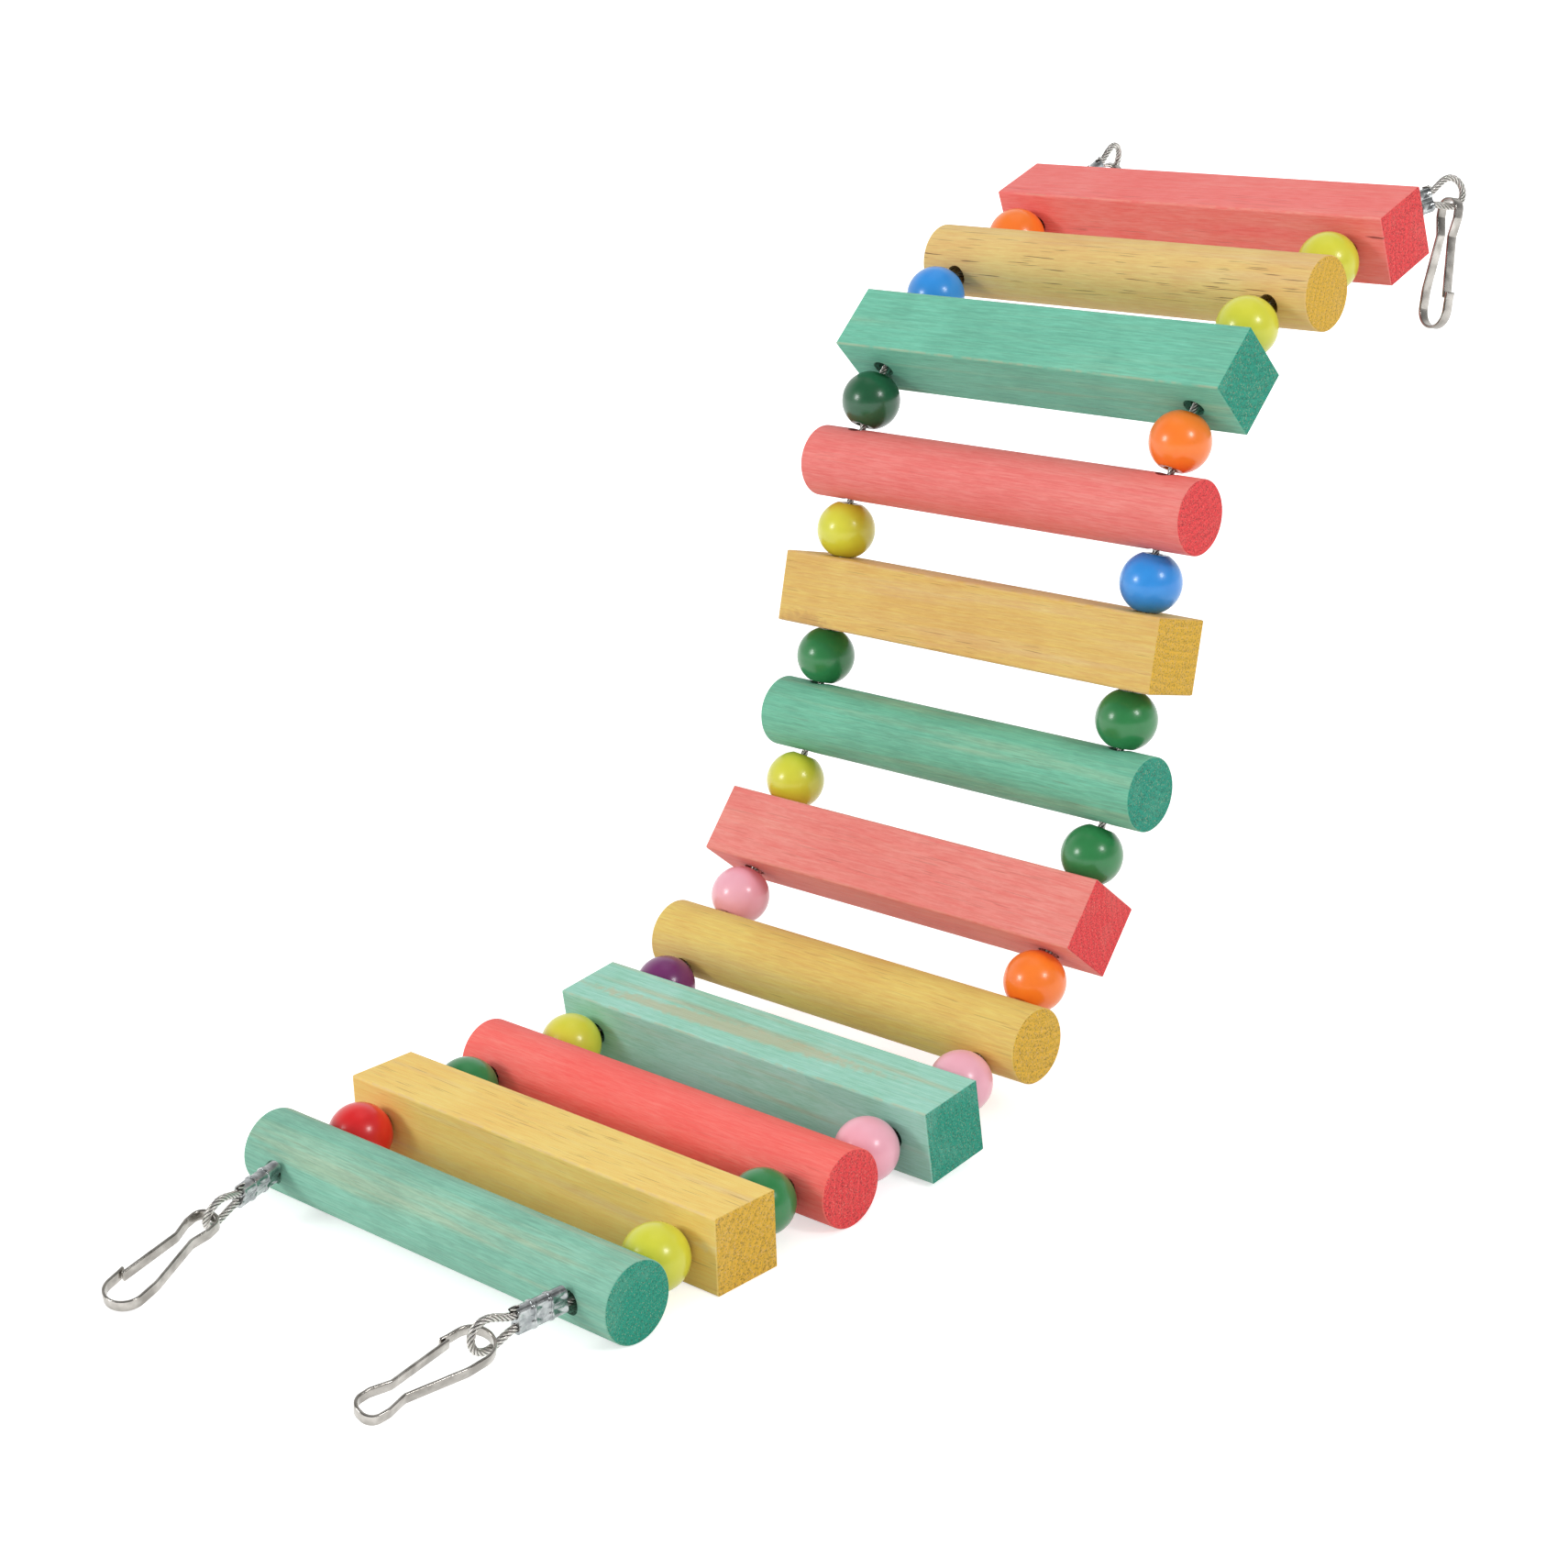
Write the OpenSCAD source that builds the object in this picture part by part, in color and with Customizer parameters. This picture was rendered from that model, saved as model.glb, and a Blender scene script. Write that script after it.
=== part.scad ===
// Climbing ladder for cage birds: dyed timber rungs, round and square by turns,
// with painted beads between them, threaded on two wire ropes. Each rope ends in
// an eye with a pressed ferrule, and each eye carries a snap hook of bent strip.
// Millimetres. X runs along the rungs, Y up the ladder and away from the viewer,
// Z is up. The three lowest rungs lie on the floor at Z = 0.

/* [Rungs] */
// Length of a rung
rung_len = 130; // [100:1:180]
// Thickness of a rung: the dowel's diameter and the square bar's side
rung_d = 20; // [16:0.5:24]
// Rounding along the square bar's edges
rung_arris = 0.8; // [0.4:0.1:2]
// Bevel around the sawn ends
rung_bevel = 0.4; // [0.2:0.1:1]
// From a rung's end to the middle of its rope hole
hole_inset = 12; // [10:0.5:20]
// Diameter of the rope holes
hole_d = 6; // [5:0.1:8]

/* [Beads] */
// Diameter of a bead
bead_d = 16.5; // [14:0.1:18]
// Height of a bead over its two flats
bead_h = 15; // [12:0.1:15.5]
// Bore through a bead
bead_bore = 3.5; // [3.4:0.1:5]
// Gap below a bead, where it sits on the lower rung
bead_seat = 0.3; // [0.2:0.05:0.6]
// Play above a bead on a straight run
bead_play = 0.9; // [0.4:0.1:1.5]

/* [Wire ropes] */
// Diameter of the wire rope
rope_d = 2; // [1.6:0.1:2.2]
// Inside radius of the round end of an eye
eye_r = 3; // [2.8:0.1:4]
// Distance from the ferrule to the centre of an eye's round end
eye_reach = 8; // [7:0.5:12]

/* [Ferrules] */
// Length of a ferrule
ferrule_len = 13.4; // [10:0.1:18]
// Thickness of a ferrule's two barrels
ferrule_t = 4.1; // [3.6:0.1:4.6]
// Distance between the two barrels' axes
barrel_gap = 3.2; // [2.6:0.1:3.6]
// Depth that the press has squeezed between its ridges
press_depth = 0.25; // [0.1:0.05:0.4]
// Width of a ridge that the press left standing
ridge_w = 0.7; // [0.5:0.1:1.2]
// Gap between a ferrule and the rung beside it
ferrule_play = 0.4; // [0.3:0.1:2]

/* [Snap hooks] */
// Length of a snap hook
hook_len = 36; // [32:1:44]
// Width of the strip
strip_w = 3; // [2.5:0.1:3.4]
// Thickness of the strip
strip_t = 0.85; // [0.6:0.05:1]
// Radius of the large nose, to the middle of the strip
nose_r = 5; // [4.5:0.1:6]
// Half width of the small head, to the middle of the strip
head_r = 3.4; // [3.2:0.1:3.8]

/* [Hidden] */
$fn = 64;

// How the ladder lies in the photograph, from the lowest rung up: the angle of
// the rope at each rung, above level, and how far each rung has swung sideways.
lean = [0, 0, 0, 7, 26, 50, 73, 76, 79, 43, 16, 19];
sway = [0, -1, -1, 1, -1, -3, 0, 1, 2.5, 4.5, 6.5, 8.5];
// Extra room that a bead needs for each degree that the rope bends.
bend_room = 0.045;

// The four ends of the ropes: bottom left, bottom right, top left, top right.
// Each has a yaw towards +X, a pitch on top of the rope's own angle, and the
// roll of the eye's plane about the ferrule, in degrees.
ends = [[12.5, 4, 113], [-6, 2.5, 94], [-5, 0, 80], [16, -9, 106]];
// Each rope bends this far from the middle of its last rung, inside the hole.
bend_at = 6;
// How each hook lies: where it rides round its eye, its swing about the rope
// there, its tip to the side and its twist about its own length, in degrees, and
// how far it is pushed into the eye.
hooks = [[-8, 1, 0.5, 14, 0.2], [-19, 2, -14, -17, 3], [-105, 0, 0, 0, 0], [-112, 12, 0, -2, 0]];
// The bottom right hook is on back to front, with its nose in the eye.
turned_hook = 1;

// The model is moved by this to put its origin at the middle of its footprint.
home = [-3.36, -130.66, 0];

rope_r = rope_d / 2;
hole_x = rung_len / 2 - hole_inset;
eye_mid = eye_r + rope_r;
last = len(lean) - 1;

function unit(v) = v / norm(v);

// The rope bends evenly from rung to rung.
function turn(k) = lean[k + 1] - lean[k];
function span(k) = rung_d + bead_h + bead_seat + bead_play + bend_room * abs(turn(k));
function bead_share(k) =
    (rung_d / 2 + bead_seat + bend_room * abs(turn(k)) / 2 + bead_h / 2) / span(k);
// The step from rung k to the share f of the way to the next rung.
function bow(k, f) =
    let (half = turn(k) * f / 2)
    let (chord = f * span(k) * (abs(half) < 0.001 ? 1 : sin(half) * 180 / PI / half))
    [f * (sway[k + 1] - sway[k]), chord * cos(lean[k] + half), chord * sin(lean[k] + half)];
function rung_at(k) = k == 0 ? [sway[0], 0, rung_d / 2] : rung_at(k - 1) + bow(k - 1, 1);
function bead_at(k) = rung_at(k) + bow(k, bead_share(k));

// One end of a rope: number n is 0 or 1 at the bottom, 2 or 3 at the top.
function is_top(n) = n > 1;
function side_x(n) = n % 2 == 0 ? -hole_x : hole_x;
function end_rung(n) = rung_at(is_top(n) ? last : 0) + [side_x(n), 0, 0];
function end_angle(n) = (is_top(n) ? lean[last] : 180 + lean[0]) + ends[n][1];
function end_axis(n) =
    [sin(ends[n][0]), cos(ends[n][0]) * cos(end_angle(n)), cos(ends[n][0]) * sin(end_angle(n))];
function end_level(n) = unit(cross(end_axis(n), [0, 0, 1]));
function end_across(n) =
    cos(ends[n][2]) * end_level(n) + sin(ends[n][2]) * cross(end_level(n), end_axis(n));
// The way straight out of the last rung, and the point where the rope bends.
function end_face(n) =
    is_top(n) ? [0, cos(lean[last]), sin(lean[last])] : [0, -cos(lean[0]), -sin(lean[0])];
function end_bend(n) = end_rung(n) + bend_at * end_face(n);
// A point of an end: s along its axis, as if measured from the rung's middle, and
// t across.
function end_point(n, s, t) =
    end_bend(n) + (s - bend_at) * end_axis(n) + t * end_across(n);
// Where a ferrule starts. A tilted one starts further out, so that none of its
// corners comes closer to the rung than the play.
function ferrule_at(n) =
    let (out = end_axis(n) * end_face(n), tip = end_across(n) * end_face(n))
    let (flat = cross(end_axis(n), end_across(n)) * end_face(n))
    (rung_d / 2 + ferrule_play - bend_at * (1 - out) - barrel_gap / 2 * tip
        + (barrel_gap + ferrule_t) / 2 * abs(tip) + ferrule_t / 2 * abs(flat)) / out;
function mouth_at(n) = ferrule_at(n) + ferrule_len;

// Half of an eye's outline, from the ferrule's mouth to the far end.
function ease(t) = t * t * (3 - 2 * t);
eye_half = concat(
    [for (i = [0:5]) [eye_reach * i / 5, barrel_gap / 2 + (eye_mid - barrel_gap / 2) * ease(i / 5)]],
    [for (a = [22.5:22.5:67.5]) [eye_reach + eye_mid * sin(a), eye_mid * cos(a)]]);
eye_far = [[eye_reach + eye_mid, 0]];
eye_loop = concat(
    [for (p = eye_half) [p[0], -p[1]]],
    eye_far,
    [for (i = [len(eye_half) - 1:-1:0]) eye_half[i]]);

// The rope's route at one end, from the rung outwards, round the eye and back.
function end_route(n) = concat(
    [end_bend(n), end_point(n, ferrule_at(n), 0)],
    [for (p = eye_loop) end_point(n, mouth_at(n) + p[0], p[1] + barrel_gap / 2)],
    [end_point(n, ferrule_at(n) - 0.3, barrel_gap)]);
function backwards(p) = [for (i = [len(p) - 1:-1:0]) p[i]];
function rope_route(side) = concat(
    backwards(end_route(side)),
    [for (k = [0:last - 1]) for (i = [0:2]) rung_at(k) + bow(k, i / 3) + [side_x(side), 0, 0]],
    [end_rung(side + 2)],
    end_route(side + 2));

// A ring of points around each point of the route, without twist.
function headings(p) =
    [for (i = [0:len(p) - 1]) unit(p[min(i + 1, len(p) - 1)] - p[max(i - 1, 0)])];
function carried(t, u, i = 0) =
    i == len(t) ? [] : let (v = unit(u - (u * t[i]) * t[i])) concat([v], carried(t, v, i + 1));

module tube(p, r, sides) {
    t = headings(p);
    u = carried(t, [0.3, 0.2, 1]);
    rings = [for (i = [0:len(p) - 1]) for (k = [0:sides - 1])
        p[i] + r * cos(360 * k / sides) * u[i] + r * sin(360 * k / sides) * cross(t[i], u[i])];
    top = (len(p) - 1) * sides;
    walls = [for (i = [0:len(p) - 2]) for (k = [0:sides - 1]) let (n = (k + 1) % sides)
        [i * sides + k, (i + 1) * sides + k, (i + 1) * sides + n, i * sides + n]];
    polyhedron(
        points = rings,
        faces = concat(
            [[for (k = [0:sides - 1]) k]],
            [[for (k = [sides - 1:-1:0]) top + k]],
            walls),
        convexity = 8);
}

module rope(side) {
    color("silver") translate(home) tube(rope_route(side), rope_r, 8);
}

// Frame of three given axes at a point.
module at_axes(o, x, y, z) {
    multmatrix([
        [x[0], y[0], z[0], o[0]],
        [x[1], y[1], z[1], o[1]],
        [x[2], y[2], z[2], o[2]],
        [0, 0, 0, 1]]) children();
}

module rope_holes() {
    for (x = [-hole_x, hole_x])
        translate([x, 0, 0])
            rotate([90, 0, 0])
                cylinder(d = hole_d, h = rung_d + 2, center = true);
}

module round_rung() {
    half = rung_len / 2;
    r = rung_d / 2;
    difference() {
        rotate([0, 90, 0])
            rotate_extrude()
                polygon([
                    [0, -half], [r - rung_bevel, -half], [r, rung_bevel - half],
                    [r, half - rung_bevel], [r - rung_bevel, half], [0, half]]);
        rope_holes();
    }
}

// A square bar along X with its four long edges rounded.
module square_bar() {
    flat = rung_d - 2 * rung_arris;
    cube([rung_len, rung_d, flat], center = true);
    cube([rung_len, flat, rung_d], center = true);
    for (y = [-flat / 2, flat / 2], z = [-flat / 2, flat / 2])
        translate([0, y, z])
            rotate([0, 90, 0])
                cylinder(r = rung_arris, h = rung_len, center = true);
}

// Four slabs that lie across the edges of one sawn end and take them off.
module end_bevels() {
    for (a = [0:90:270])
        rotate([a, 0, 0])
            translate([rung_len / 2, 0, rung_d / 2])
                rotate([0, 45, 0])
                    cube([4, rung_d + 2, 2 * rung_bevel * sin(45)], center = true);
}

module square_rung() {
    difference() {
        square_bar();
        end_bevels();
        mirror([1, 0, 0]) end_bevels();
        rope_holes();
    }
}

// Rungs are numbered from 1 at the bottom; every second one is square.
module rung(number, tint) {
    k = number - 1;
    color(tint)
        translate(home + rung_at(k))
            rotate([lean[k], 0, 0])
                if (number % 2 == 1) round_rung(); else square_rung();
}

module bead_body() {
    rotate([90, 0, 0])
        difference() {
            sphere(d = bead_d);
            for (z = [-1, 1])
                translate([0, 0, z * (bead_h / 2 + 2)])
                    cube([bead_d, bead_d, 4], center = true);
            cylinder(d = bead_bore, h = bead_d + 2, center = true);
        }
}

// Bead k sits between rungs k and k + 1, its bore along the rope.
module bead(number, side, tint) {
    k = number - 1;
    step = bow(k, 1);
    color(tint)
        translate(home + bead_at(k) + [side * hole_x, 0, 0])
            rotate([lean[k] + turn(k) * bead_share(k), 0, 0])
                rotate([0, 0, -atan2(step[0], norm([step[1], step[2]]))])
                    bead_body();
}

// Two barrels side by side, with a groove between them.
module barrels(d, from, to) {
    for (y = [-barrel_gap / 2, barrel_gap / 2])
        translate([from, y, 0])
            rotate([0, 90, 0]) cylinder(d = d, h = to - from);
    translate([from, -barrel_gap / 2, 0.35 - d / 2])
        cube([to - from, barrel_gap, d - 0.7]);
}

module ferrule_body() {
    zone = (ferrule_len - 2 * ridge_w) / 3;
    difference() {
        union() {
            barrels(ferrule_t - 2 * press_depth, 0, ferrule_len);
            for (i = [1, 2])
                barrels(ferrule_t, i * zone + (i - 1) * ridge_w, i * (zone + ridge_w));
        }
        for (y = [-barrel_gap / 2, barrel_gap / 2])
            translate([-1, y, 0])
                rotate([0, 90, 0]) cylinder(d = rope_d + 0.06, h = ferrule_len + 2);
    }
}

module ferrule(n) {
    color("gainsboro")
        at_axes(
            home + end_point(n, ferrule_at(n), barrel_gap / 2),
            end_axis(n), end_across(n), cross(end_axis(n), end_across(n)))
            ferrule_body();
}

// Points of one rounded corner of a path.
function corner(a, b, c, r) =
    let (p = unit(a - b), q = unit(c - b))
    let (open = acos(p * q), side = cross(b - a, c - b) > 0 ? 1 : -1)
    let (mid = b + unit(p + q) * r / sin(open / 2), from = b + p * r / tan(open / 2) - mid)
    let (steps = ceil((180 - open) / 10))
    [for (i = [0:steps]) let (w = side * (180 - open) * i / steps)
        mid + [from[0] * cos(w) - from[1] * sin(w), from[0] * sin(w) + from[1] * cos(w)]];
function flat2(p) = [p[0], p[1]];
// A path of [x, y, radius] corners with its corners rounded.
function rounded(p) = concat(
    [flat2(p[0])],
    [for (i = [1:len(p) - 2]) each corner(flat2(p[i - 1]), flat2(p[i]), flat2(p[i + 1]), p[i][2])],
    [flat2(p[len(p) - 1])]);

// The strip along a path, seen on edge.
module strip_outline(p) {
    t = headings(p);
    left = [for (i = [0:len(p) - 1]) p[i] + strip_t / 2 * [-t[i][1], t[i][0]]];
    right = [for (i = [0:len(p) - 1]) p[i] - strip_t / 2 * [-t[i][1], t[i][0]]];
    polygon(concat(left, backwards(right)));
}

// The hook lies along X, from its small head at 0 to its nose. The gate starts
// inside the nose's lip, runs back round the head, and the body returns by the
// neck, goes round the nose and ends in the lip.
nose_at = hook_len - nose_r - strip_t / 2;
// The bend is pressed round a bar, which leaves the strip there a little thinner.
nose_bore = nose_r - strip_t / 2 + 0.03;
gate_v = nose_r - strip_t - 0.2;
// The gate ends this far from the nose's middle, clear of a bar that fills the nose.
gate_off = sqrt(nose_bore * nose_bore - pow(gate_v - strip_t / 2, 2)) + 0.3;
head_u = strip_t / 2;
gate_and_body = [
    [nose_at - gate_off, -gate_v, 0],
    [10.5, -2.3, 2],
    [5.6, -head_r - 0.1, 1.5],
    [head_u, -head_r, 3],
    [head_u, head_r, 3],
    [5.6, head_r + 0.1, 1.5],
    [10.5, 2.4, 2],
    [nose_at - 5, nose_r, 6],
    [nose_at, nose_r, 0]];
nose = [for (a = [80:-10:-80]) [nose_at + nose_r * cos(a), nose_r * sin(a)]];
lip = [
    [nose_at, -nose_r, 0],
    [nose_at - 3, -nose_r, 4],
    [nose_at - 5, -nose_r - 0.15, 0]];

module hook_body() {
    difference() {
        linear_extrude(strip_w, center = true)
            strip_outline(concat(rounded(gate_and_body), nose, rounded(lip)));
        translate([nose_at, 0, 0])
            cylinder(h = strip_w + 1, r = nose_bore, center = true, $fn = 48);
    }
}

// The strip's end lies this far inside the eye's rope, where it bears.
bite = rope_r + eye_r - sqrt(eye_r * eye_r - strip_w * strip_w / 4) + 0.25 + strip_t / 2;

// A vector turned about a unit axis.
function spun(v, a, w) = v * cos(w) + cross(a, v) * sin(w) + a * (a * v) * (1 - cos(w));

// Where a hook rides on its eye, the way out of the eye there, and the run of the
// rope, which the hook swings about.
function hook_seat(n) =
    end_point(n, mouth_at(n) + eye_reach + eye_mid * cos(hooks[n][0]),
        barrel_gap / 2 + eye_mid * sin(hooks[n][0]));
function hook_out(n) = cos(hooks[n][0]) * end_axis(n) + sin(hooks[n][0]) * end_across(n);
function hook_pin(n) = cos(hooks[n][0]) * end_across(n) - sin(hooks[n][0]) * end_axis(n);
// Its length, its width and the run of the strip's width, as three axes.
function hook_swung(n) = spun(hook_out(n), hook_pin(n), hooks[n][1]);
function hook_level(n) = cross(hook_pin(n), hook_swung(n));
function hook_along(n) = spun(hook_swung(n), hook_level(n), hooks[n][2]);
function hook_face(n) = spun(cross(hook_along(n), hook_level(n)), hook_along(n), hooks[n][3]);

module snap_hook(n) {
    color("lightsteelblue")
        at_axes(
            home + hook_seat(n) - hooks[n][4] * hook_along(n),
            hook_along(n), cross(hook_face(n), hook_along(n)), hook_face(n))
            if (n == turned_hook)
                translate([hook_len - head_u - bite, 0, 0]) mirror([1, 0, 0]) hook_body();
            else
                translate([-bite - head_u, 0, 0]) hook_body();
}

coral = "salmon";
yellow = "khaki";
teal = "mediumaquamarine";

module rung_01() { rung(1, teal); }
module rung_02() { rung(2, yellow); }
module rung_03() { rung(3, coral); }
module rung_04() { rung(4, teal); }
module rung_05() { rung(5, yellow); }
module rung_06() { rung(6, coral); }
module rung_07() { rung(7, teal); }
module rung_08() { rung(8, yellow); }
module rung_09() { rung(9, coral); }
module rung_10() { rung(10, teal); }
module rung_11() { rung(11, yellow); }
module rung_12() { rung(12, coral); }

module bead_left_01() { bead(1, -1, "red"); }
module bead_left_02() { bead(2, -1, "green"); }
module bead_left_03() { bead(3, -1, "greenyellow"); }
module bead_left_04() { bead(4, -1, "purple"); }
module bead_left_05() { bead(5, -1, "pink"); }
module bead_left_06() { bead(6, -1, "greenyellow"); }
module bead_left_07() { bead(7, -1, "green"); }
module bead_left_08() { bead(8, -1, "greenyellow"); }
module bead_left_09() { bead(9, -1, "darkgreen"); }
module bead_left_10() { bead(10, -1, "dodgerblue"); }
module bead_left_11() { bead(11, -1, "darkorange"); }
module bead_right_01() { bead(1, 1, "greenyellow"); }
module bead_right_02() { bead(2, 1, "green"); }
module bead_right_03() { bead(3, 1, "pink"); }
module bead_right_04() { bead(4, 1, "pink"); }
module bead_right_05() { bead(5, 1, "darkorange"); }
module bead_right_06() { bead(6, 1, "green"); }
module bead_right_07() { bead(7, 1, "green"); }
module bead_right_08() { bead(8, 1, "dodgerblue"); }
module bead_right_09() { bead(9, 1, "darkorange"); }
module bead_right_10() { bead(10, 1, "greenyellow"); }
module bead_right_11() { bead(11, 1, "greenyellow"); }

module rope_left() { rope(0); }
module rope_right() { rope(1); }
module ferrule_bottom_left() { ferrule(0); }
module ferrule_bottom_right() { ferrule(1); }
module ferrule_top_left() { ferrule(2); }
module ferrule_top_right() { ferrule(3); }
module hook_bottom_left() { snap_hook(0); }
module hook_bottom_right() { snap_hook(1); }
module hook_top_left() { snap_hook(2); }
module hook_top_right() { snap_hook(3); }

rung_01();
rung_02();
rung_03();
rung_04();
rung_05();
rung_06();
rung_07();
rung_08();
rung_09();
rung_10();
rung_11();
rung_12();
bead_left_01();
bead_left_02();
bead_left_03();
bead_left_04();
bead_left_05();
bead_left_06();
bead_left_07();
bead_left_08();
bead_left_09();
bead_left_10();
bead_left_11();
bead_right_01();
bead_right_02();
bead_right_03();
bead_right_04();
bead_right_05();
bead_right_06();
bead_right_07();
bead_right_08();
bead_right_09();
bead_right_10();
bead_right_11();
rope_left();
rope_right();
ferrule_bottom_left();
ferrule_bottom_right();
ferrule_top_left();
ferrule_top_right();
hook_bottom_left();
hook_bottom_right();
hook_top_left();
hook_top_right();
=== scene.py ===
# %% [markdown]
# # A bird ladder of dyed rungs on two wire ropes
# The ladder is twelve pine rungs, round and square by turns, with painted wooden
# beads between them. Two stranded wire ropes run through rungs and beads. Each end
# of a rope is bent back into an eye, held by a pressed aluminium ferrule, and each
# eye carries a snap hook bent from nickel-plated strip.
#
# The CAD model comes in first, as a fixed frame in metres. Its rungs are right as
# they are and only need wood. The ropes, beads, ferrules and hooks get finer meshes
# that stand exactly where their solids are.

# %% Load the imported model
import math

import bmesh
import bpy
from mathutils import Matrix, Vector


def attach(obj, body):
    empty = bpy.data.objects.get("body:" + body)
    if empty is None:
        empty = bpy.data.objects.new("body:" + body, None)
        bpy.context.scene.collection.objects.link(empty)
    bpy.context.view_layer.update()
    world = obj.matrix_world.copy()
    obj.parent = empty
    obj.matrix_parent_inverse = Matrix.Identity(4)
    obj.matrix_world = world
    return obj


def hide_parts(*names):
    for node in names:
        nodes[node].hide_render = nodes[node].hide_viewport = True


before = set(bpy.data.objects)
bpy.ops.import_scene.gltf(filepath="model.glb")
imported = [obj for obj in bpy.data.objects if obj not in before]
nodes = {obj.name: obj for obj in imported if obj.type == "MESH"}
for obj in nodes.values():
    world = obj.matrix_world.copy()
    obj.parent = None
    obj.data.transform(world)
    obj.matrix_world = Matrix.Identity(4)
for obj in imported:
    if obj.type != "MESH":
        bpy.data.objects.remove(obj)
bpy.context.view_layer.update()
MM = 0.001

# %% [markdown]
# ## Small helpers
# Colours are written as the hex values that a picture editor shows, but shaders
# work with linear light, so one function turns them. A second function adds a node
# to any tree, with its settings and its links in one line. Three more shorten the
# nodes that come up most: a sum on numbers, a change of range and a mix of colours.
# They keep the material cells short enough to read.

# %% Helpers for colours and nodes
def linear(code):
    """An sRGB hex colour as the linear colour that a shader expects."""
    parts = [int(code[i:i + 2], 16) / 255 for i in (1, 3, 5)]
    return [c / 12.92 if c <= 0.04045 else ((c + 0.055) / 1.055) ** 2.4 for c in parts] + [1]


def grey(level):
    return level, level, level, 1


def add(tree, kind, inputs=None, **settings):
    """Adds a node. A value in inputs sets a socket, and another node's socket links to it."""
    node = tree.nodes.new(kind)
    for name, value in settings.items():
        setattr(node, name, value)
    for key, value in (inputs or {}).items():
        if isinstance(value, bpy.types.NodeSocket):
            tree.links.new(value, node.inputs[key])
        else:
            node.inputs[key].default_value = value
    return node


def maths(tree, operation, *values):
    """A sum on one, two or three numbers, any of which may come from a node."""
    return add(tree, "ShaderNodeMath", dict(enumerate(values)), operation=operation).outputs[0]


def spread(tree, value, low, high, start=0, end=1, way="LINEAR"):
    """Stretches a value so that low becomes start and high becomes end, and holds it there."""
    return add(tree, "ShaderNodeMapRange", {0: value, 1: low, 2: high, 3: start, 4: end},
               interpolation_type=way).outputs[0]


def blend(tree, factor, a, b, way="MIX"):
    """Mixes two colours."""
    return add(tree, "ShaderNodeMix", {0: factor, 6: a, 7: b}, data_type="RGBA",
               blend_type=way).outputs[2]


def new_material(name):
    """A material with its node tree and its shader."""
    material = bpy.data.materials.new(name)
    material.use_nodes = True
    return material, material.node_tree, material.node_tree.nodes["Principled BSDF"]


def link_object(name, data):
    """Puts a new object for a mesh, curve, lamp or camera into the scene."""
    thing = bpy.data.objects.new(name, data)
    bpy.context.scene.collection.objects.link(thing)
    return thing


print("linear value of mid grey:", round(linear("#808080")[0], 4))

# %% [markdown]
# ## Camera, floor and light
# The photograph is a studio shot on white, taken from the front right and a little
# above. The camera's place was found by fitting the ladder's edges to the picture.
#
# A white background could be made with very bright lamps, but then the dyed wood
# would bleach. Here the lamps stay at a plain level, and the floor and the world
# are white only for rays that come from the camera or from a reflection. The floor
# still darkens where the ladder shades it. A studio is dark overhead and where the
# photographer stands, and polished metal shows it, so reflections dim that way.

# %% Camera
camera_data = bpy.data.cameras.new("studio_camera")
camera_data.sensor_width = 36
camera_data.lens = 67.1024
camera_data.clip_start = 0.01
camera = link_object("studio_camera", camera_data)
right = Vector((0.732168, 0.680248, -0.034521))
down = Vector((0.187092, -0.249587, -0.950107))
forward = Vector((-0.654925, 0.689179, -0.310008))
camera.matrix_world = Matrix.Translation((0.48837, -0.52667, 0.31922)) @ Matrix(
    (right, -down, -forward)).transposed().to_4x4()
scene = bpy.context.scene
scene.camera = camera
scene.view_settings.view_transform = "Standard"
ladder_middle = Vector((0, 0, 0.1))
print("camera is", round((camera.location - ladder_middle).length, 3), "m away")

# %% A paper floor
floor_mesh = bpy.data.meshes.new("studio_floor")
half_side = 6
floor_mesh.from_pydata(
    [(-half_side, -half_side, 0), (half_side, -half_side, 0),
     (half_side, half_side, 0), (-half_side, half_side, 0)], [], [(0, 1, 2, 3)])
floor = link_object("studio_floor", floor_mesh)

floor_paper, tree, shader = new_material("white_studio_paper")
shader.inputs["Base Color"].default_value = linear("#EDEDED")
shader.inputs["Roughness"].default_value = 0.9
rays = add(tree, "ShaderNodeLightPath").outputs
seen = maths(tree, "MAXIMUM", rays["Is Camera Ray"], rays["Is Glossy Ray"])
seen = maths(tree, "MAXIMUM", seen, rays["Is Transmission Ray"])
# the paper is lifted a little near the ladder and fully where it runs out of the light
place = add(tree, "ShaderNodeTexCoord").outputs["Object"]
away = add(tree, "ShaderNodeVectorMath", {0: place}, operation="LENGTH").outputs[1]
level = spread(tree, away, 0.35, 1.1, 0.58, 1)
lift = maths(tree, "MULTIPLY", seen, level)
glow = add(tree, "ShaderNodeEmission", {"Color": (1, 1, 1, 1), "Strength": lift})
both = add(tree, "ShaderNodeAddShader", {0: shader.outputs[0], 1: glow.outputs[0]})
tree.links.new(both.outputs[0], tree.nodes["Material Output"].inputs["Surface"])
floor_mesh.materials.append(floor_paper)
print("the floor is", 2 * half_side, "m wide")

# %% White surroundings
world = bpy.data.worlds.new("white_surroundings")
scene.world = world
world.use_nodes = True
tree = world.node_tree
rays = add(tree, "ShaderNodeLightPath").outputs
way_in = add(tree, "ShaderNodeTexCoord").outputs["Generated"]
# a reflection that looks up and towards the front right finds the dark of the studio
dark_side = (0.45, -0.47, 0.76)
to_dark = add(tree, "ShaderNodeVectorMath", {0: way_in, 1: dark_side}, operation="DOT_PRODUCT")
mirrored = spread(tree, to_dark.outputs[1], -0.1, 0.6, 1, 0.2, "SMOOTHSTEP")
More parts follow.
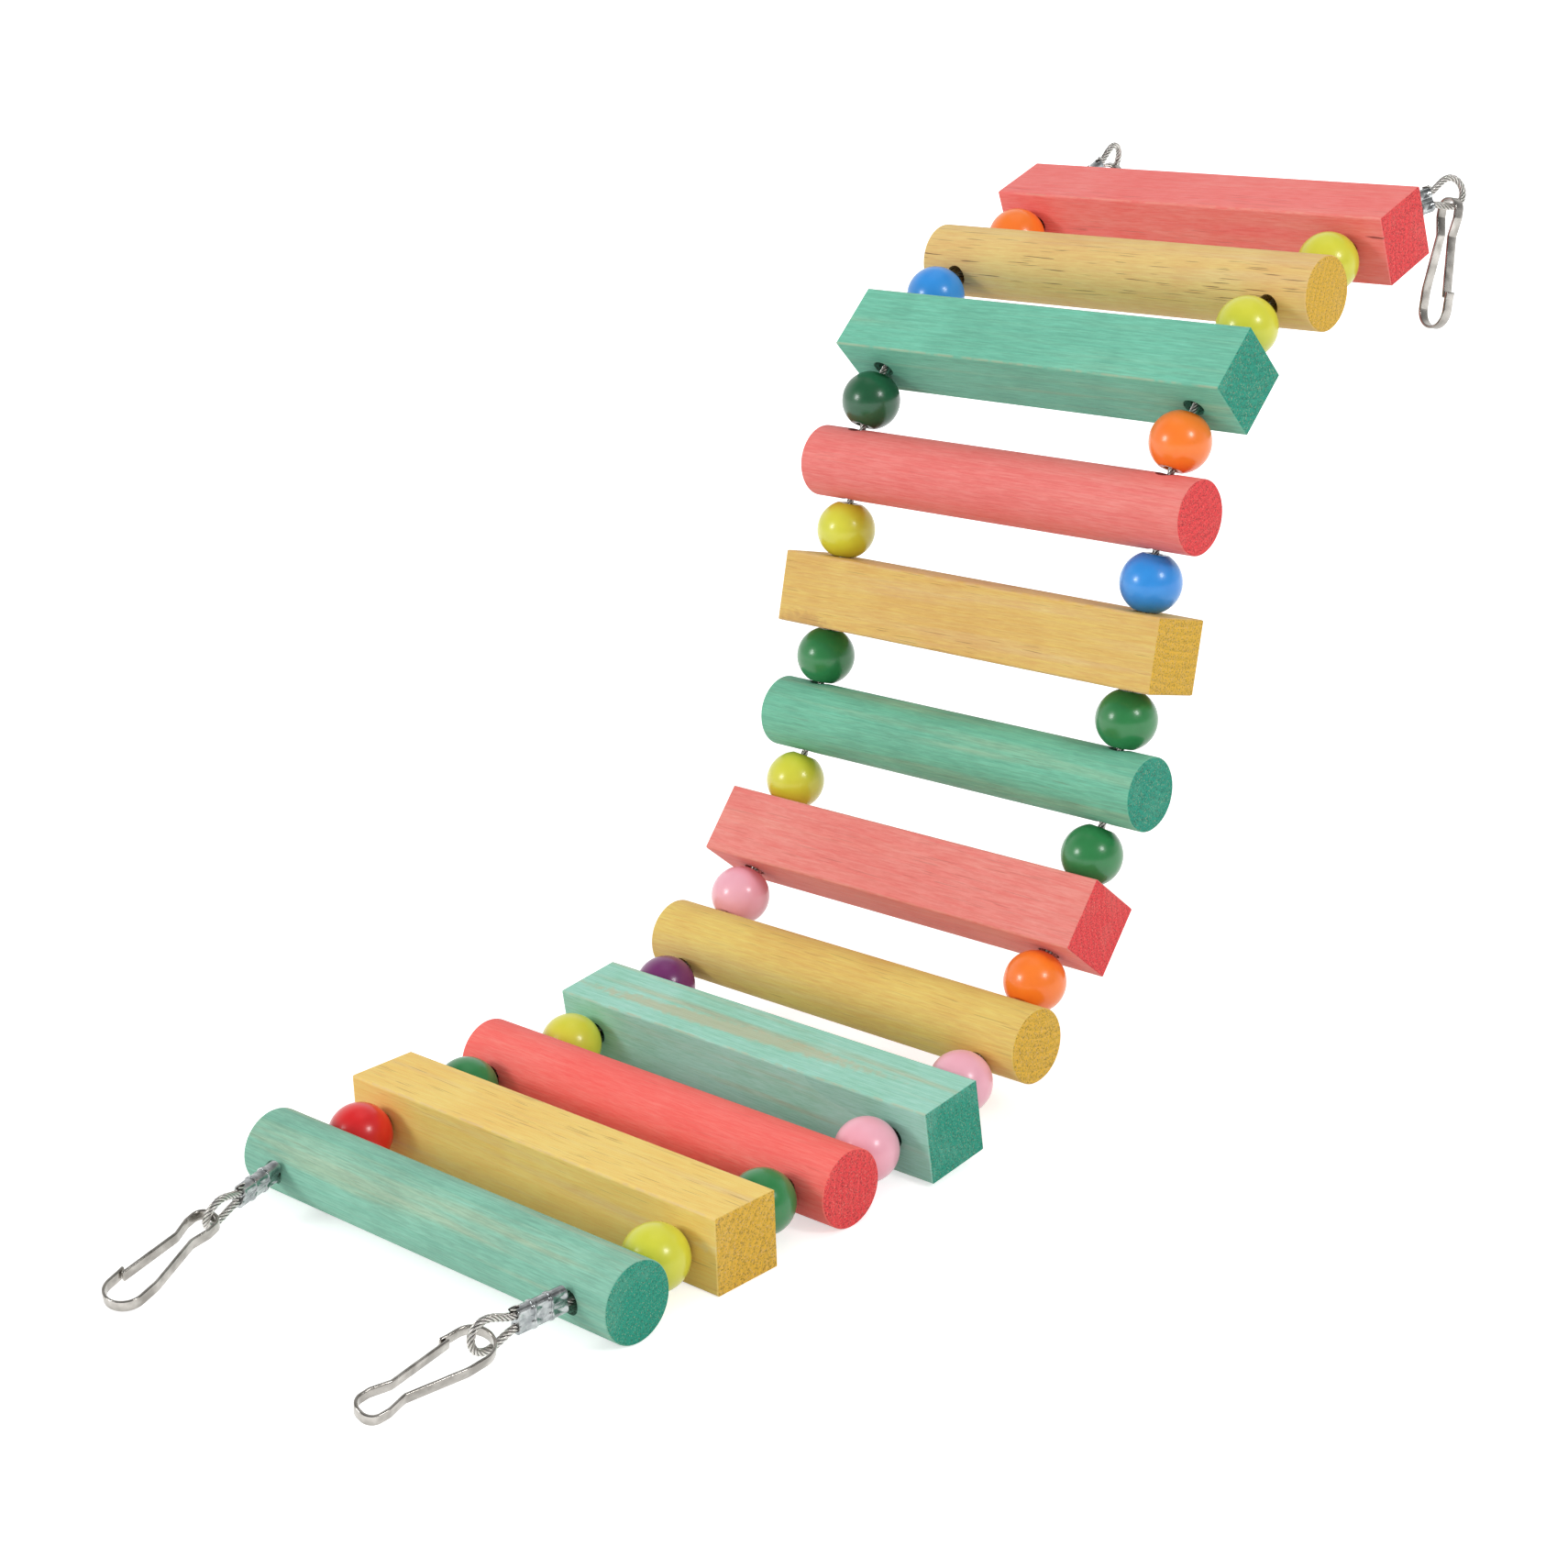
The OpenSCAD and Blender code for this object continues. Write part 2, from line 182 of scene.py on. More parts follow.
# the level for light that falls on the ladder, then for reflections, then for the camera
level = spread(tree, rays["Is Glossy Ray"], 0, 1, 0.66, mirrored)
seen = maths(tree, "MAXIMUM", rays["Is Camera Ray"], rays["Is Transmission Ray"])
level = spread(tree, seen, 0, 1, level, 1)
background = tree.nodes["Background"]
background.inputs["Color"].default_value = (1, 1, 1, 1)
tree.links.new(level, background.inputs["Strength"])
print("the world has", len(tree.nodes), "nodes")

# %% Three soft lamps
def soft_lamp(name, towards, distance, size, power):
    """A square lamp that shines on the ladder from the direction given."""
    data = bpy.data.lights.new(name, "AREA")
    data.shape = "SQUARE"
    data.size = size
    data.energy = power
    lamp = link_object(name, data)
    way = Vector(towards).normalized()
    lamp.location = ladder_middle + way * distance
    lamp.rotation_mode = "QUATERNION"
    lamp.rotation_quaternion = (-way).to_track_quat("-Z", "Y")


soft_lamp("window_left", (-0.374, -0.829, 0.34), distance=1.3, size=0.30, power=5.2)
soft_lamp("window_right", (0.825, -0.036, 0.564), distance=1.3, size=0.26, power=4.4)
soft_lamp("ceiling_panel", (-0.1, 0.15, 1.0), distance=1.5, size=0.9, power=1.0)

# %% [markdown]
# ## How the ladder lies
# The lowest rungs lie flat and the rest climb in a curve, as if the top had been
# hung up. The CAD source describes this with an angle for every rung and a sideways
# swing, and the rope bends evenly from each rung to the next. The same rule is
# repeated here, because the rope's route, the bead places and the direction of the
# grain all come from it.

# %% The curve of the ladder, in millimetres
lean = [0, 0, 0, 7, 26, 50, 73, 76, 79, 43, 16, 19]
sway = [0, -1, -1, 1, -1, -3, 0, 1, 2.5, 4.5, 6.5, 8.5]
home = Vector((-3.36, -130.66, 0))
rung_len, rung_d, hole_x = 130, 20, 53
bead_d, bead_h, bead_bore = 16.5, 15, 3.5
bead_seat = 0.3    # from a rung to its bead
bead_play = 0.9    # from a bead to the next rung
bend_room = 0.045  # added for each degree that the rope bends there


def turn(k):
    return lean[k + 1] - lean[k]


def span(k):
    """From one rung's middle to the next: the rung, the bead and their play."""
    return rung_d + bead_h + bead_seat + bead_play + bend_room * abs(turn(k))


def bow(k, share):
    """The step along the bent rope from rung k, by a share of the way to the next."""
    half = math.radians(turn(k) * share / 2)
    chord = share * span(k) * (math.sin(half) / half if half else 1)
    angle = math.radians(lean[k]) + half
    return Vector((share * (sway[k + 1] - sway[k]), chord * math.cos(angle), chord * math.sin(angle)))


rung_at = [Vector((sway[0], 0, rung_d / 2))]
for k in range(11):
    rung_at.append(rung_at[k] + bow(k, 1))
print("top rung at", [round(v, 1) for v in rung_at[-1] + home])

# %% [markdown]
# ## Dyed pine
# The rungs are softwood that was cut, sanded and dipped in thin dye. Dye doesn't
# cover like paint: it lets the grain through, it stays paler where the wood is
# resinous, and the cut ends drink more of it and turn dark. Short dark dashes are
# resin ducts cut open along the grain.
#
# A real log's rings are cylinders round its core, so the pattern is three solid
# patterns in the rung's own space: rings round a core that lies outside the rung,
# long streaks that are stretched along the grain, and fine fibre. A Mapping node of
# the texture kind turns each pattern onto its rung and gives it millimetres. The
# ends, the painted shade of the drilled holes and the worn edges are masks of the
# same coordinates.
#
# The function takes three colours: the dye, the pale colour where it is thin and the
# deep one of the ends. Each share says how clearly flecks, ducts or streaks show. The
# core is the log's middle, in millimetres across the rung, and k counts the rungs.

# %% A dyed pine material for one rung
def dyed_pine(name, dye, pale, deep, fleck_share, k, seed, core, duct_share, streak_share, stains=()):
    """Thin dye on sanded softwood, satin: grain shows through and ends are darker."""
    material, tree, shader = new_material(name)
    place = add(tree, "ShaderNodeTexCoord").outputs["Object"]
    local = add(tree, "ShaderNodeMapping", {
        "Vector": place, "Location": (rung_at[k] + home) * MM,
        "Rotation": (math.radians(lean[k]), 0, 0), "Scale": (MM, MM, MM)},
        vector_type="TEXTURE").outputs[0]
    # the grain runs a degree or two off the rung, and is 30 times longer than it is wide
    grain = add(tree, "ShaderNodeMapping", {
        "Vector": local, "Location": (0, core[0], core[1]),
        "Rotation": (0, math.radians(1.5 - seed % 4), math.radians(seed % 3 - 1.2)),
        "Scale": (30, 1, 1)}, vector_type="TEXTURE").outputs[0]
    axes = add(tree, "ShaderNodeSeparateXYZ", {0: local}).outputs
    x = maths(tree, "ABSOLUTE", axes[0])

    def noise(vector, scale, detail, low, high, shift=0, rough=0.5):
        """Noise of a given number of blotches per millimetre, spread from 0 to 1."""
        blotches = add(tree, "ShaderNodeTexNoise", {
            "Vector": vector, "W": seed + shift, "Scale": scale, "Detail": detail,
            "Roughness": rough}, noise_dimensions="4D")
        return spread(tree, blotches.outputs[0], low, high, way="SMOOTHSTEP")

    def stretched(factors):
        """The rung's millimetres, each multiplied by a factor along x, y and z."""
        scaled = add(tree, "ShaderNodeVectorMath", {0: local, 1: factors}, operation="MULTIPLY")
        return scaled.outputs[0]

    def mix(factor, a, b, way="MIX"):
        return blend(tree, factor, a, b, way)

    def times(a, b):
        return maths(tree, "MULTIPLY", a, b)

    # growth rings 2.2 mm apart: pale early wood that darkens to a thin line
    rings = add(tree, "ShaderNodeTexWave", {
        "Vector": grain, "Scale": 0.314 / 2.2, "Distortion": 1.6, "Detail": 2,
        "Detail Scale": 0.35}, wave_type="RINGS", rings_direction="X", wave_profile="SAW").outputs[1]
    streaks = noise(grain, 0.20, 4, 0.50, 0.72, 1, 0.55)
    fibre = noise(grain, 2.4, 3, 0.25, 0.75, 2)
    patches = noise(local, 0.05, 2, 0.30, 0.70, 3)
    # sanding lifts the fibres: flecks 0.4 mm wide and twelve times as long, pale or deep
    specks = noise(stretched((0.2, 2.4, 2.4)), 1.0, 2, 0.36, 0.64, 4, 0.7)

    colour = mix(times(streaks, streak_share), linear(dye), linear(pale))
    colour = mix(times(rings, 0.14), colour, linear(deep))
    colour = mix(0.18, colour, mix(fibre, grey(0.25), grey(0.75)), "OVERLAY")
    colour = mix(0.3, colour, mix(patches, grey(0.36), grey(0.64)), "OVERLAY")
    colour = mix(fleck_share, colour, mix(specks, grey(0.22), grey(0.78)), "OVERLAY")

    # resin ducts: dashes about 8 mm long and 0.3 mm wide, in loose groups
    dashes = noise(stretched((0.09, 3.2, 3.2)), 1.0, 0, 0.685, 0.74, 5)
    groups = noise(grain, 0.14, 2, 0.42, 0.58, 6)
    ducts = times(times(dashes, groups), duct_share)
    colour = mix(times(ducts, 0.75), colour, linear("#6E4630"))

    # stains of this one rung, each a soft ragged spot in its own place
    ragged = add(tree, "ShaderNodeTexNoise", {"Vector": local, "Scale": 0.5, "Detail": 3}).outputs[0]
    for spot, angle, reach, tint, strength in stains:
        near = add(tree, "ShaderNodeMapping", {
            "Vector": local, "Location": spot, "Rotation": angle, "Scale": reach},
            vector_type="TEXTURE").outputs[0]
        far = add(tree, "ShaderNodeVectorMath", {0: near}, operation="LENGTH").outputs[1]
        inside = spread(tree, maths(tree, "ADD", far, ragged), 1.55, 1.0, way="SMOOTHSTEP")
        colour = mix(times(inside, strength), colour, linear(tint))

    # worn long edges of a square rung, where the dye has rubbed thin
    if k % 2:
        edges = [spread(tree, maths(tree, "ABSOLUTE", axes[n]), rung_d / 2 - 0.7, rung_d / 2 - 0.2)
                 for n in (1, 2)]
        worn = times(times(edges[0], edges[1]), noise(local, 0.3, 2, 0.35, 0.6, 7))
        colour = mix(times(worn, 0.55), colour, linear(pale))

    # sawn ends: the dye soaks in deep, open pores half a millimetre wide are darker
    # still, and the torn fibres between them are paler
    rung_end = rung_len / 2
    pores = noise(local, 2.0, 2, 0.50, 0.64, 8, 0.75)
    torn = noise(local, 2.6, 1, 0.56, 0.70, 9)
    thin = noise(local, 0.1, 3, 0.45, 0.7, 10)
    end_colour = mix(times(thin, 0.22), linear(deep), linear(dye))
    end_colour = mix(times(torn, 0.5), end_colour, linear(pale))
    end_colour = mix(times(pores, 0.5), end_colour, grey(0))
    end_colour = mix(times(rings, 0.16), end_colour, grey(0))
    colour = mix(spread(tree, x, rung_end - 0.3, rung_end - 0.1), colour, end_colour)

    # painted shade of the drilled holes: dark inside each hole, with a ragged edge about 3 mm from its
    # middle
    across_hole = add(tree, "ShaderNodeCombineXYZ", {0: maths(tree, "SUBTRACT", x, hole_x), 2: axes[2]})
    far = add(tree, "ShaderNodeVectorMath", {0: across_hole.outputs[0]}, operation="LENGTH").outputs[1]
    frayed = add(tree, "ShaderNodeTexNoise", {"Vector": local, "Scale": 1.6, "Detail": 3}).outputs[0]
    rim = maths(tree, "MULTIPLY_ADD", frayed, 1.3, far)
    hole_shade = spread(tree, rim, 3.70, 3.45)
    # painted shade: the hole's wall and rim are coloured dark brown
    colour = mix(times(hole_shade, 0.7), colour, linear("#4A362B"))
    tree.links.new(colour, shader.inputs["Base Color"])

    # satin: the dye leaves the fibres a little raised, so light breaks up on them
    shader.inputs["Roughness"].default_value = 0.62
    shader.inputs["IOR"].default_value = 1.5
    shader.inputs["Specular IOR Level"].default_value = 0.35
    side_height = maths(tree, "MULTIPLY_ADD", ducts, -2.0, maths(tree, "ADD", fibre, specks))
    end_height = maths(tree, "MULTIPLY_ADD", pores, -0.8, 1.2)
    # the change from side to end is spread over a millimetre, so that it makes no ledge
    towards_end = spread(tree, x, rung_end - 1.3, rung_end - 0.2)
    height = add(tree, "ShaderNodeMix", {0: towards_end, 2: side_height, 3: end_height}).outputs[0]
    bump = add(tree, "ShaderNodeBump", {"Height": height, "Distance": 0.05 * MM, "Strength": 0.6})
    tree.links.new(bump.outputs[0], shader.inputs["Normal"])
    return material


# %% [markdown]
# Three dyes colour the twelve rungs in turn from the bottom: teal, yellow and coral.
# Each rung gets its own seed and its own distance from the log's core, so no two
# look alike. A few rungs carry marks that the photograph shows: a pale patch on the
# second, a band on the fourth that took no dye, a brown streak and a brown corner on
# the eighth, and a short crack at the end of the twelfth.

# %% Wood for the twelve rungs
# name, colour where the dye is thin, colour of the ends, and how much the flecks show
tints = [("teal", "#BDB592", "#1E9C82", 0.15), ("yellow", "#DDBE96", "#E8B83C", 0.12),
         ("coral", "#EFA592", "#F2464A", 0.22)]
# each rung was dipped by hand, so each took up the dye a little differently
dyes = ["#87BFA8", "#F4D278", "#F9736A", "#A0D8C4", "#E2C06A", "#E9897F",
        "#74BC9E", "#DDB668", "#EB7F78", "#74BFA4", "#E4C07C", "#F3817B"]
duct_shares = [0.25, 0.5, 0.12, 0.2, 0.35, 0.25, 0.3, 0.6, 0.1, 0.15, 1.0, 0.35]
streak_shares = [0.5, 0.4, 0.2, 0.62, 0.3, 0.3, 0.3, 0.35, 0.25, 0.35, 0.45, 0.25]
# place, angles and reach in the rung's own space, then colour and strength
stains = {
    1: [((62, -4, 2), (0, 0, 0), (8, 9, 2.0), "#E9D9A0", 0.5)],
    3: [((-10, -2, 10), (0, 0, 0.03), (60, 3, 3), "#C9B48C", 0.55)],
    7: [((60, -9.5, -1), (0, 0.9, 0), (9, 3, 1.0), "#8A5A3C", 0.8),
        ((-52, -9.5, 8), (0, 0.2, 0), (14, 4, 4), "#B98A55", 0.5)],
    11: [((62.5, -10, 4.2), (0, 0.05, 0), (3.6, 1.2, 0.4), "#7A2E2C", 0.8)],
}
for k in range(12):
    tint, pale, deep, flecks = tints[k % 3]
    core = (18 + 7 * (k % 4), -24 + 11 * (k % 5))
    wood = dyed_pine(f"dyed_pine_{tint}_{k + 1:02d}", dyes[k], pale, deep, flecks, k, 3.7 * k + 1,
                     core, duct_shares[k], streak_shares[k], stains.get(k, ()))
    rung = nodes[f"rung_{k + 1:02d}"]
    rung.data.materials.clear()
    rung.data.materials.append(wood)
print("rungs finished:", sum(n.startswith("rung") for n in nodes))

# %% [markdown]
# ## Painted beads
# Each bead is turned from wood, drilled, and dipped in gloss paint. The paint
# rounds every edge that the tools left sharp, which is why a bead shines in a full
# ring round its hole. A sphere with two flats and a bore is a shape of revolution,
# so its section is drawn once, with small round corners, and turned about its axis.
# The same mesh then serves for all beads, each moved into its own place.

# %% Turn a bead on its axis
def lathe(section, steps):
    """Faces of a closed section (radius, height) turned about Z, in millimetres."""
    rows = len(section)
    verts = [(r * math.cos(a), r * math.sin(a), z)
             for a in (2 * math.pi * i / steps for i in range(steps)) for r, z in section]
    faces = []
    for i in range(steps):
        for j in range(rows):
            here, there = i * rows, (i + 1) % steps * rows
            faces.append((here + j, there + j, there + (j + 1) % rows, here + (j + 1) % rows))
    return verts, faces


ball_r, half_h, bore_r, corner_r = bead_d / 2, bead_h / 2, bead_bore / 2, 0.45
# the corner between the flat and the ball is a fillet that touches both
fillet_z = half_h - corner_r
fillet_r = math.sqrt((ball_r - corner_r) ** 2 - fillet_z ** 2)
fillet_angle = math.atan2(fillet_z, fillet_r)
upper = []
for i in range(5):
    a = math.pi - math.pi / 2 * i / 4
    upper.append((bore_r + corner_r + corner_r * math.cos(a), fillet_z + corner_r * math.sin(a)))
for i in range(5):
    a = math.pi / 2 + (fillet_angle - math.pi / 2) * i / 4
    upper.append((fillet_r + corner_r * math.cos(a), fillet_z + corner_r * math.sin(a)))
ball = []
for i in range(1, 11):
    a = fillet_angle * (1 - i / 10)
    ball.append((ball_r * math.cos(a), ball_r * math.sin(a)))
section = upper + ball + [(r, -z) for r, z in reversed(upper + ball[:-1])]
bead_verts, bead_faces = lathe(section, 48)
print("bead section has", len(section), "points; its flat is", round(2 * fillet_r, 1), "mm wide")

# %% [markdown]
# The paint is a dip coat of gloss enamel. It is thick enough to hide the wood, but
# it has a slight orange-peel ripple of about a millimetre, so window reflections
# are soft and not ruler straight. A clear coat layer on the shader gives the
# brighter reflection over the softer colour below.

# %% Gloss paint
def gloss_paint(name, tint, shade):
    """Dipped gloss enamel: soft window reflections, a faint ripple, colour a little uneven."""
    material, tree, shader = new_material(name)
    place = add(tree, "ShaderNodeTexCoord").outputs["Object"]
    thick = add(tree, "ShaderNodeTexNoise", {"Vector": place, "Scale": 160, "Detail": 2}).outputs[0]
    uneven = spread(tree, thick, 0.35, 0.75, 0, 0.35)
    colour = blend(tree, uneven, linear(tint), linear(shade))
    tree.links.new(colour, shader.inputs["Base Color"])
    shader.inputs["Roughness"].default_value = 0.32
    shader.inputs["IOR"].default_value = 1.5
    shader.inputs["Coat Weight"].default_value = 0.35
    shader.inputs["Coat Roughness"].default_value = 0.17
    ripple = add(tree, "ShaderNodeTexNoise", {"Vector": place, "Scale": 900, "Detail": 1}).outputs[0]
    bump = add(tree, "ShaderNodeBump", {"Height": ripple, "Distance": 0.02 * MM, "Strength": 0.35})
    tree.links.new(bump.outputs[0], shader.inputs["Normal"])
    return material


paints = {
    "red": ("#E4161A", "#BE0F14"), "lime": ("#DAD83C", "#C6CA2C"),
    "green": ("#2A8447", "#1B6C37"), "pink": ("#F5B2C2", "#EC9CB0"),
    "purple": ("#7C2C70", "#601E58"), "orange": ("#FF8222", "#F86A12"),
    "blue": ("#2C94E8", "#1C7AD2"), "dark_green": ("#175C38", "#0F4528")}
paint = {name: gloss_paint(f"gloss_enamel_{name}", *pair) for name, pair in paints.items()}
print("paints:", len(paint))

# %% Put the beads in their places
def bead_place(k, side):
    """Where the bead above rung k stands: side is -1 on the left rope and 1 on the right."""
    bend = bend_room * abs(turn(k))
    share = (rung_d / 2 + bead_seat + bend / 2 + bead_h / 2) / span(k)
    step = bow(k, 1)
    middle = rung_at[k] + bow(k, share) + Vector((side * hole_x, 0, 0)) + home
    return (Matrix.Translation(middle * MM)
            @ Matrix.Rotation(math.radians(lean[k] + turn(k) * share), 4, "X")
            @ Matrix.Rotation(-math.atan2(step.x, math.hypot(step.y, step.z)), 4, "Z")
            @ Matrix.Rotation(math.radians(90), 4, "X") @ Matrix.Scale(MM, 4))


# colours from the lowest gap to the highest
strings = {
    "left": "red green lime purple pink lime green lime dark_green blue orange".split(),
    "right": "lime green pink pink orange green green blue orange lime lime".split()}
for side, word in ((-1, "left"), (1, "right")):
    for k, tint in enumerate(strings[word]):
        name = f"bead_{word}_{k + 1:02d}"
        mesh = bpy.data.meshes.new(f"painted_{name}")
        mesh.from_pydata(bead_verts, [], bead_faces)
        mesh.transform(bead_place(k, side))
        bm = bmesh.new()
        bm.from_mesh(mesh)
        bmesh.ops.recalc_face_normals(bm, faces=bm.faces)
        bm.to_mesh(mesh)
        bm.free()
        mesh.shade_smooth()
        mesh.materials.append(paint[tint])
        bead = link_object(f"painted_{name}", mesh)
        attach(bead, name)
        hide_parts(name)
print("beads placed:", sum(len(v) for v in strings.values()))

# %% [markdown]
# ## Stranded wire rope
# The rope is 2 mm galvanised steel: six strands laid round a seventh, and each
# strand is itself twisted from thin wires. It runs straight through the rungs and
# beads, and at each end it turns back through the ferrule to make an eye.
#
# A tube with a striped picture would look flat in the eyes, where the camera is
# close. Geometry Nodes follow the route instead: the route is copied six times, and
# every copy is pushed out from the middle at an angle that grows with the length,
# which is just how a rope is laid. A small round section swept along each copy
# gives the strands. The thin wires are too fine to mesh, so they are drawn by the
# material, from a direction and a length that the tree stores on the surface.

# %% The rope's route, in millimetres
corners = ("bottom_left", "bottom_right", "top_left", "top_right")
# yaw, pitch and roll of each rope end, in degrees, in the order of the corners
ends = [(12.5, 4, 113), (-6, 2.5, 94), (-5, 0, 80), (16, -9, 106)]
bend_at, ferrule_len, ferrule_t, barrel_gap, ridge_w = 6, 13.4, 4.1, 3.2, 0.7
eye_reach, eye_mid = 8, 4
ferrule_clear = 0.4  # from the rung's face to the ferrule
tail_stub = 0.3      # how far the turned-back rope sticks out on the rung's side


def end_frame(n):
    """One end of a rope: its rung's middle, the way straight out of the rung, the rope's
    own direction once it has bent, the way across its eye, and where its ferrule starts."""
    yaw, pitch, roll = (math.radians(v) for v in ends[n])
    level = math.radians(lean[-1] if n > 1 else 180 + lean[0])
    face = Vector((0, math.cos(level), math.sin(level)))
    level += pitch
    along = Vector((math.sin(yaw), math.cos(yaw) * math.cos(level), math.cos(yaw) * math.sin(level)))
    flat = along.cross(Vector((0, 0, 1))).normalized()
    across = math.cos(roll) * flat + math.sin(roll) * flat.cross(along)
    middle = rung_at[-1 if n > 1 else 0] + Vector((hole_x if n % 2 else -hole_x, 0, 0))
    out, tip, thick = along.dot(face), across.dot(face), along.cross(across).dot(face)
    starts = (rung_d / 2 + ferrule_clear - bend_at * (1 - out) - barrel_gap / 2 * tip
              + (barrel_gap + ferrule_t) / 2 * abs(tip) + ferrule_t / 2 * abs(thick)) / out
    return middle, face, along, across, starts


def end_point(n, s, t):
    """A point of an end, s along it as if measured from the rung's middle, t across."""
    middle, face, along, across, _ = end_frame(n)
    return middle + bend_at * face + (s - bend_at) * along + t * across


def end_route(n):
    """From the rung outwards: the bend, through the ferrule, round the eye and back."""
    middle, face, _, _, starts = end_frame(n)
    half = []
    for i in range(6):
        f = i / 5
        half.append((eye_reach * f, barrel_gap / 2 + (eye_mid - barrel_gap / 2) * f * f * (3 - 2 * f)))
    for a in (math.radians(22.5), math.radians(45), math.radians(67.5)):
        half.append((eye_reach + eye_mid * math.sin(a), eye_mid * math.cos(a)))
    loop = [(s, -t) for s, t in half] + [(eye_reach + eye_mid, 0)] + half[::-1]
    flat = [(starts, 0)] + [(starts + ferrule_len + s, t + barrel_gap / 2) for s, t in loop]
    flat.append((starts - tail_stub, barrel_gap))
    return [middle + bend_at * face] + [end_point(n, s, t) for s, t in flat]


def rope_route(n):
    """The whole rope in metres, the left one for 0 and the right one for 1."""
    middle = [rung_at[k] + bow(k, i / 3) + Vector((hole_x if n else -hole_x, 0, 0))
              for k in range(11) for i in range(3)]
    middle.append(end_frame(n + 2)[0])
    return [(p + home) * MM for p in end_route(n)[::-1] + middle + end_route(n + 2)]


route_length = sum((b - a).length for a, b in zip(rope_route(0), rope_route(0)[1:]))
print("one rope is", round(route_length / MM), "mm long")

# %% A node tree that lays strands along a route
laid = bpy.data.node_groups.new("laid_rope", "GeometryNodeTree")
for name, kind, value in (
        ("Geometry", "NodeSocketGeometry", None), ("Rope Radius", "NodeSocketFloat", 0.001),
        ("Strands", "NodeSocketInt", 6), ("Lay Length", "NodeSocketFloat", 0.008),
        ("Step", "NodeSocketFloat", 0.0006), ("Finish", "NodeSocketMaterial", None)):
    socket = laid.interface.new_socket(name, in_out="INPUT", socket_type=kind)
    if value is not None:
        socket.default_value = value
laid.interface.new_socket("Geometry", in_out="OUTPUT", socket_type="NodeSocketGeometry")
given = add(laid, "NodeGroupInput").outputs


def vector_maths(operation, inputs):
    return add(laid, "ShaderNodeVectorMath", inputs, operation=operation).outputs[0]


# even steps first, so that the smooth curve through them can't overshoot
even = add(laid, "GeometryNodeResampleCurve", {"Curve": given["Geometry"], "Length": 0.0015},
           mode="LENGTH")
smooth = add(laid, "GeometryNodeCurveSplineType", {"Curve": even.outputs[0]}, spline_type="CATMULL_ROM")
route = add(laid, "GeometryNodeResampleCurve", {"Curve": smooth.outputs[0], "Length": given["Step"]},
            mode="LENGTH")
route = add(laid, "GeometryNodeSetCurveNormal", {"Curve": route.outputs[0]}, mode="MINIMUM_TWIST")
length = add(laid, "GeometryNodeSplineParameter").outputs["Length"]
marked = add(laid, "GeometryNodeStoreNamedAttribute", {
    "Geometry": route.outputs[0], "Name": "along", "Value": length},
    data_type="FLOAT", domain="POINT").outputs[0]
# the copies, each turned about the route by its share of a circle and by the lay
copies = add(laid, "GeometryNodeDuplicateElements", {
    "Geometry": marked, "Amount": given["Strands"]}, domain="SPLINE")
turns = maths(laid, "DIVIDE", length, given["Lay Length"])
start = maths(laid, "DIVIDE", copies.outputs["Duplicate Index"], given["Strands"])
angle = maths(laid, "MULTIPLY", maths(laid, "ADD", turns, start), 2 * math.pi)
normal = add(laid, "GeometryNodeInputNormal").outputs[0]
tangent = add(laid, "GeometryNodeInputTangent").outputs[0]
side_way = vector_maths("CROSS_PRODUCT", {0: tangent, 1: normal})
out_a = vector_maths("SCALE", {0: normal, "Scale": maths(laid, "COSINE", angle)})
out_b = vector_maths("SCALE", {0: side_way, "Scale": maths(laid, "SINE", angle)})
outward = vector_maths("ADD", {0: out_a, 1: out_b})
# a third of the rope's radius would make the strands touch, and this leaves fine grooves
strand_r = maths(laid, "MULTIPLY", given["Rope Radius"], 0.322)
ring_r = maths(laid, "SUBTRACT", given["Rope Radius"], strand_r)
helix = add(laid, "GeometryNodeSetPosition", {
    "Geometry": copies.outputs[0], "Offset": vector_maths("SCALE", {0: outward, "Scale": ring_r})})
all_strands = add(laid, "GeometryNodeJoinGeometry")
laid.links.new(marked, all_strands.inputs[0])
laid.links.new(helix.outputs[0], all_strands.inputs[0])
# the round section, which remembers which way each of its points faces
section_ring = add(laid, "GeometryNodeCurvePrimitiveCircle", {
    "Resolution": 8, "Radius": strand_r}, mode="RADIUS")
facing = vector_maths("NORMALIZE", {0: add(laid, "GeometryNodeInputPosition").outputs[0]})
section_ring = add(laid, "GeometryNodeStoreNamedAttribute", {
    "Geometry": section_ring.outputs[0], "Name": "around", "Value": facing},
    data_type="FLOAT_VECTOR", domain="POINT")
swept = add(laid, "GeometryNodeCurveToMesh", {
    "Curve": all_strands.outputs[0], "Profile Curve": section_ring.outputs[0], "Fill Caps": True})
# how far each spot lies from the rope's middle: 1 on a strand's crest, less in a groove
middle_line = add(laid, "GeometryNodeCurveToMesh", {"Curve": marked})
off = add(laid, "GeometryNodeProximity", {0: middle_line.outputs[0]}, target_element="EDGES")
crest = maths(laid, "DIVIDE", off.outputs["Distance"], given["Rope Radius"])
swept = add(laid, "GeometryNodeStoreNamedAttribute", {
    "Geometry": swept.outputs[0], "Name": "crest", "Value": crest}, data_type="FLOAT", domain="POINT")
rounded = add(laid, "GeometryNodeSetShadeSmooth", {"Geometry": swept.outputs[0]})
dressed = add(laid, "GeometryNodeSetMaterial", {"Geometry": rounded.outputs[0],
                                              "Material": given["Finish"]})
result = add(laid, "NodeGroupOutput")
laid.links.new(dressed.outputs[0], result.inputs[0])
print("laid_rope has", len(laid.nodes), "nodes")

# %% Galvanised wire: thin wires drawn along each strand, with painted shade between them
steel_wire, tree, shader = new_material("galvanised_steel_wire")
